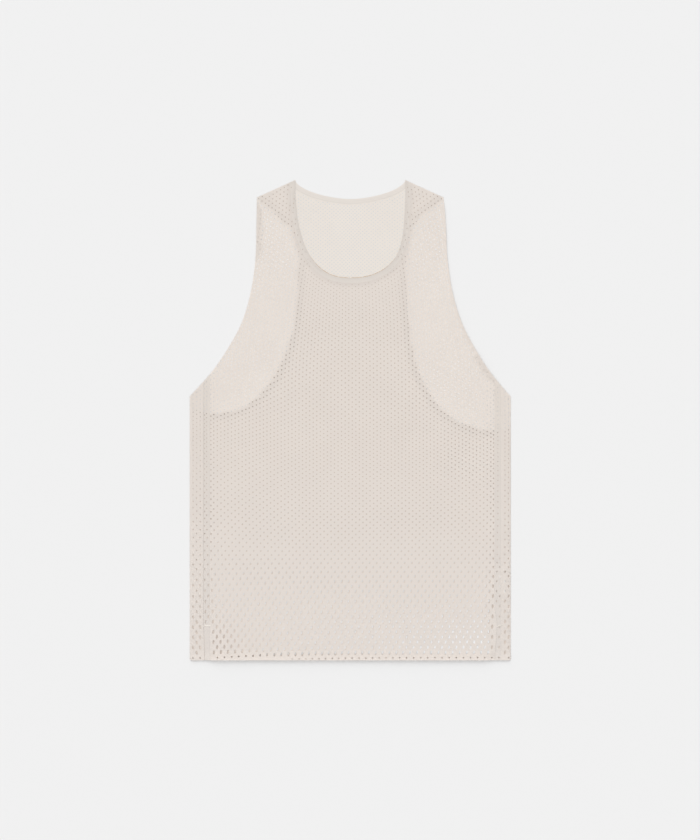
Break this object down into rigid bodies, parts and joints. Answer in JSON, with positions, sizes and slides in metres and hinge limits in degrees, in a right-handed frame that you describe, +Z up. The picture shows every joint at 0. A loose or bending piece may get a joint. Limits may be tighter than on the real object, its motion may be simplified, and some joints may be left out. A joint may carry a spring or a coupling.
{
  "type": "running singlet",
  "caption": "Racer-back running singlet in light knit mesh, laid flat, with a scooped neck, bonded side seams and short hem vents.",
  "frame": {"origin": "centre of the garment's box, on the table that it lies on", "axes": "+X to the right of the picture, +Y from hem to shoulders, +Z up from the table"},
  "size_m": [0.48, 0.7186, 0.0043],
  "materials": {
    "knit_mesh": "off-white open polyester knit, soft and slightly see-through",
    "bonded_band": "off-white smooth bonded knit with no holes",
    "label_cloth": "plain off-white satin label"
  },
  "bodies": {
    "root": {"front_panel": "knit_mesh", "back_panel": "knit_mesh", "neck_band_front": "bonded_band", "neck_band_back": "bonded_band", "side_seam_left": "bonded_band", "side_seam_right": "bonded_band", "side_label": "label_cloth"}
  },
  "joints": []
}
